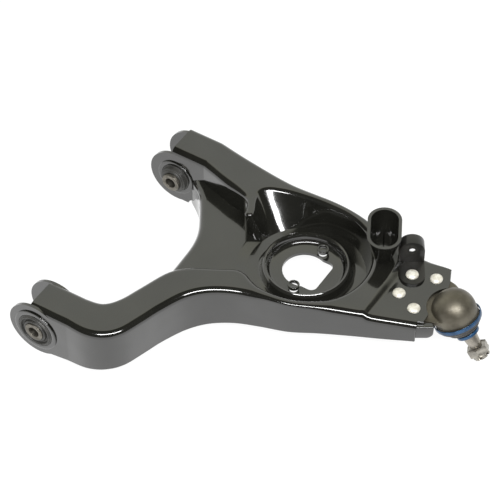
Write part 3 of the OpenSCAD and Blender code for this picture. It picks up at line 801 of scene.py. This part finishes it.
def boot_part(name, stations, material):
    """Rubber skin through rings given as (distance from the ball, radius, lean in degrees)."""
    mesh = bmesh.new()
    rings = []
    around = 96
    for h, r, lean in stations:
        axis = Vector((math.sin(math.radians(lean)), 0, -math.cos(math.radians(lean))))
        place = frame_at(BALL, axis)
        rings.append([mesh.verts.new(place @ Vector((r * math.cos(math.tau * k / around) * MM,
                                                     r * math.sin(math.tau * k / around) * MM, h * MM)))
                      for k in range(around)])
    for a, b in zip(rings, rings[1:]):
        for k in range(around):
            mesh.faces.new((a[k], a[(k + 1) % around], b[(k + 1) % around], b[k]))
    piece = loft_object(name, mesh)
    faces = piece.data.polygons
    middle = faces[len(faces) // 2]
    if middle.normal.dot(middle.center - BALL * MM) < 0:
        piece.data.flip_normals()
    give_thickness(piece, BOOT_SKIN, even=False)
    smooth_by(piece, 60)
    piece.data.materials.append(material)
    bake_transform(piece)
    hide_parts("dust_boot")


def build_boot(material):
    """Collar on the housing's axis that eases over into a neck on the stud's axis."""
    upper = [(13.4, 27.6, 27), (14.2, 28.3, 27), (15.4, 28.5, 27), (17.0, 28.4, 27.3), (18.6, 27.6, 28),
             (20.0, 26.2, 29), (21.6, 24.4, 30.5), (22.8, 22.8, 31.5), (24.0, 21.6, 32.5)]
    lower = [(24.0, 21.6, 32.5), (25.2, 21.4, 33.5), (26.8, 20.4, 34.5), (28.4, 18.2, 35.6),
             (29.8, 15.6, 36.4), (31.0, 13.9, 37), (32.2, 13.1, 37), (34.0, 12.9, 37), (36.2, 12.9, 37),
             (36.9, 12.4, 37)]
    boot_part("boot_collar", upper, material)
    boot_part("boot_cone", lower, material)


# ---------------------------------------------------------------- build

build_arm(paint)
build_spring_seat(paint)
build_cup(paint)
softened("link_bracket", "link_bracket_pressing", "arm", "black_paint", satin, 1.0)
softened("steering_stop", "steering_stop_tab", "arm", "black_paint", paint, 1.4)
softened("damper_nuts", "damper_weld_nuts", "arm", "painted_nuts", paint, 0.7)
softened("ball_joint_housing", "forged_housing", "arm", "forged_steel", forged, 1.0)
softened("housing_cover", "housing_closing_plate", "arm", "forged_steel", forged, 0.4)
softened("castle_nut", "slotted_castle_nut", "stud", "zinc_plate", zinc, 0.5)
build_rivets(rivet_metal)
build_stud(steel)
build_boot(boot_rubber)
for name, inner, outer, low, high, axis, body in (
        ("boot_ring_large", 28.8, 30.3, 10, 15, HOUSING_AXIS, "arm"),
        ("boot_ring_small", 13.3, 14.8, 32, 36, STUD_AXIS, "boot_neck")):
    lathe(name.replace("ring", "band"), [(inner, low), (outer, low), (outer, high), (inner, high)], 0.7,
          ball_frame(axis), body, "blue_band", band_blue, name)
build_bushing("straight_bushing", 0, STRAIGHT_SHELL_R,
              [(20, 26), (18.5, 26), (18.5, 32), (16.4, 32.4), (16, 34), (12.55, 34)],
              38, "straight_sleeve", -33)
build_bushing("curved_bushing", -SPAN, CURVED_SHELL_R,
              [(24, 26), (22.5, 26.2), (22, 28), (20, 28), (19, 24.6), (16.4, 24.6), (15.6, 28),
               (12.55, 28)],
              29.5, "curved_sleeve", -27)
for name in ("ball_seat_upper", "ball_seat_lower"):
    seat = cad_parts[name]
    seat.data.materials.clear()
    seat.data.materials.append(nylon)

# ---------------------------------------------------------------- camera, light and floor

VIEW_TURN = math.radians(32.17)
VIEW_RISE = math.radians(47.21)
VIEW_DISTANCE = 2.752
FLOOR_Z = -0.0391
look_at = Vector((0.1493, -0.0824, 0))
toward = Vector((math.sin(VIEW_TURN) * math.cos(VIEW_RISE), -math.cos(VIEW_TURN) * math.cos(VIEW_RISE),
                 math.sin(VIEW_RISE)))
lens = bpy.data.cameras.new("camera")
lens.sensor_width = 36
lens.lens = 158.5
lens.clip_end = 50
camera = linked("camera", lens)
camera.location = look_at + VIEW_DISTANCE * toward
camera.rotation_euler = (-toward).to_track_quat("-Z", "Y").to_euler()
bpy.context.scene.camera = camera


def softbox(name, turn, rise, distance, width, height, power, shows=True):
    """An area light that faces the arm from a compass turn and a rise, both in degrees."""
    light = bpy.data.lights.new(name, "AREA")
    light.shape = "RECTANGLE"
    light.size = width
    light.size_y = height
    light.energy = power
    lamp = linked(name, light)
    a, b = math.radians(turn), math.radians(rise)
    way = Vector((math.sin(a) * math.cos(b), -math.cos(a) * math.cos(b), math.sin(b)))
    lamp.location = look_at + distance * way
    lamp.rotation_euler = (-way).to_track_quat("-Z", "Y").to_euler()
    lamp.visible_glossy = shows


softbox("strip_light", 38, 50, 2.4, 2.3, 0.30, 70)
softbox("fill_light", 20, 70, 3.0, 2.5, 2.5, 40, shows=False)

world = bpy.data.worlds.new("studio")
bpy.context.scene.world = world
world.use_nodes = True
tree = world.node_tree
tree.nodes.clear()
where = tree.nodes.new("ShaderNodeTexCoord")
split = tree.nodes.new("ShaderNodeSeparateXYZ")
tree.links.new(where.outputs["Generated"], split.inputs[0])
along = tree.nodes.new("ShaderNodeVectorMath")
along.operation = "DOT_PRODUCT"
along.inputs[1].default_value = (-math.sin(VIEW_TURN), math.cos(VIEW_TURN), 0)
tree.links.new(where.outputs["Generated"], along.inputs[0])
angle = tree.nodes.new("ShaderNodeMath")
angle.operation = "ARCTAN2"
tree.links.new(split.outputs["Z"], angle.inputs[0])
tree.links.new(along.outputs["Value"], angle.inputs[1])
turn = tree.nodes.new("ShaderNodeMath")
turn.operation = "DIVIDE"
turn.inputs[1].default_value = math.pi
tree.links.new(angle.outputs["Value"], turn.inputs[0])
ramp = tree.nodes.new("ShaderNodeValToRGB")
stops = [(0.0, (0.80, 0.80, 0.76)), (0.25, (0.86, 0.87, 0.80)), (0.31, (1.0, 1.0, 0.86)),
         (0.35, (0.95, 0.95, 0.80)), (0.385, (0.05, 0.05, 0.04)), (1.0, (0.05, 0.05, 0.05))]
band = ramp.color_ramp
while len(band.elements) < len(stops):
    band.elements.new(0.5)
for element, (place, colour) in zip(band.elements, stops):
    element.position = place
    element.color = (*colour, 1)
tree.links.new(turn.outputs["Value"], ramp.inputs["Fac"])
sky = tree.nodes.new("ShaderNodeBackground")
sky.inputs["Strength"].default_value = 1.0
tree.links.new(ramp.outputs["Color"], sky.inputs["Color"])
# the ramp lights the arm and is mirrored in it, while the view past the floor stays white
backdrop = tree.nodes.new("ShaderNodeBackground")
backdrop.inputs["Color"].default_value = (1, 1, 1, 1)
seen = tree.nodes.new("ShaderNodeLightPath")
choose = tree.nodes.new("ShaderNodeMixShader")
tree.links.new(seen.outputs["Is Camera Ray"], choose.inputs[0])
tree.links.new(sky.outputs["Background"], choose.inputs[1])
tree.links.new(backdrop.outputs["Background"], choose.inputs[2])
out = tree.nodes.new("ShaderNodeOutputWorld")
tree.links.new(choose.outputs["Shader"], out.inputs["Surface"])

deselect()
bpy.ops.mesh.primitive_plane_add(size=12, location=(0.2, -0.1, FLOOR_Z))
floor = bpy.context.object
floor.name = "floor"
white = bpy.data.materials.new("pale_floor")
white.use_nodes = True
plain = white.node_tree.nodes["Principled BSDF"]
plain.inputs["Base Color"].default_value = (0.12, 0.12, 0.12, 1)
plain.inputs["Roughness"].default_value = 1.0
plain.inputs["Specular IOR Level"].default_value = 0.0
plain.inputs["Emission Color"].default_value = (1, 1, 1, 1)
plain.inputs["Emission Strength"].default_value = 0.93
floor.data.materials.append(white)
bpy.context.scene.view_settings.view_transform = "Standard"
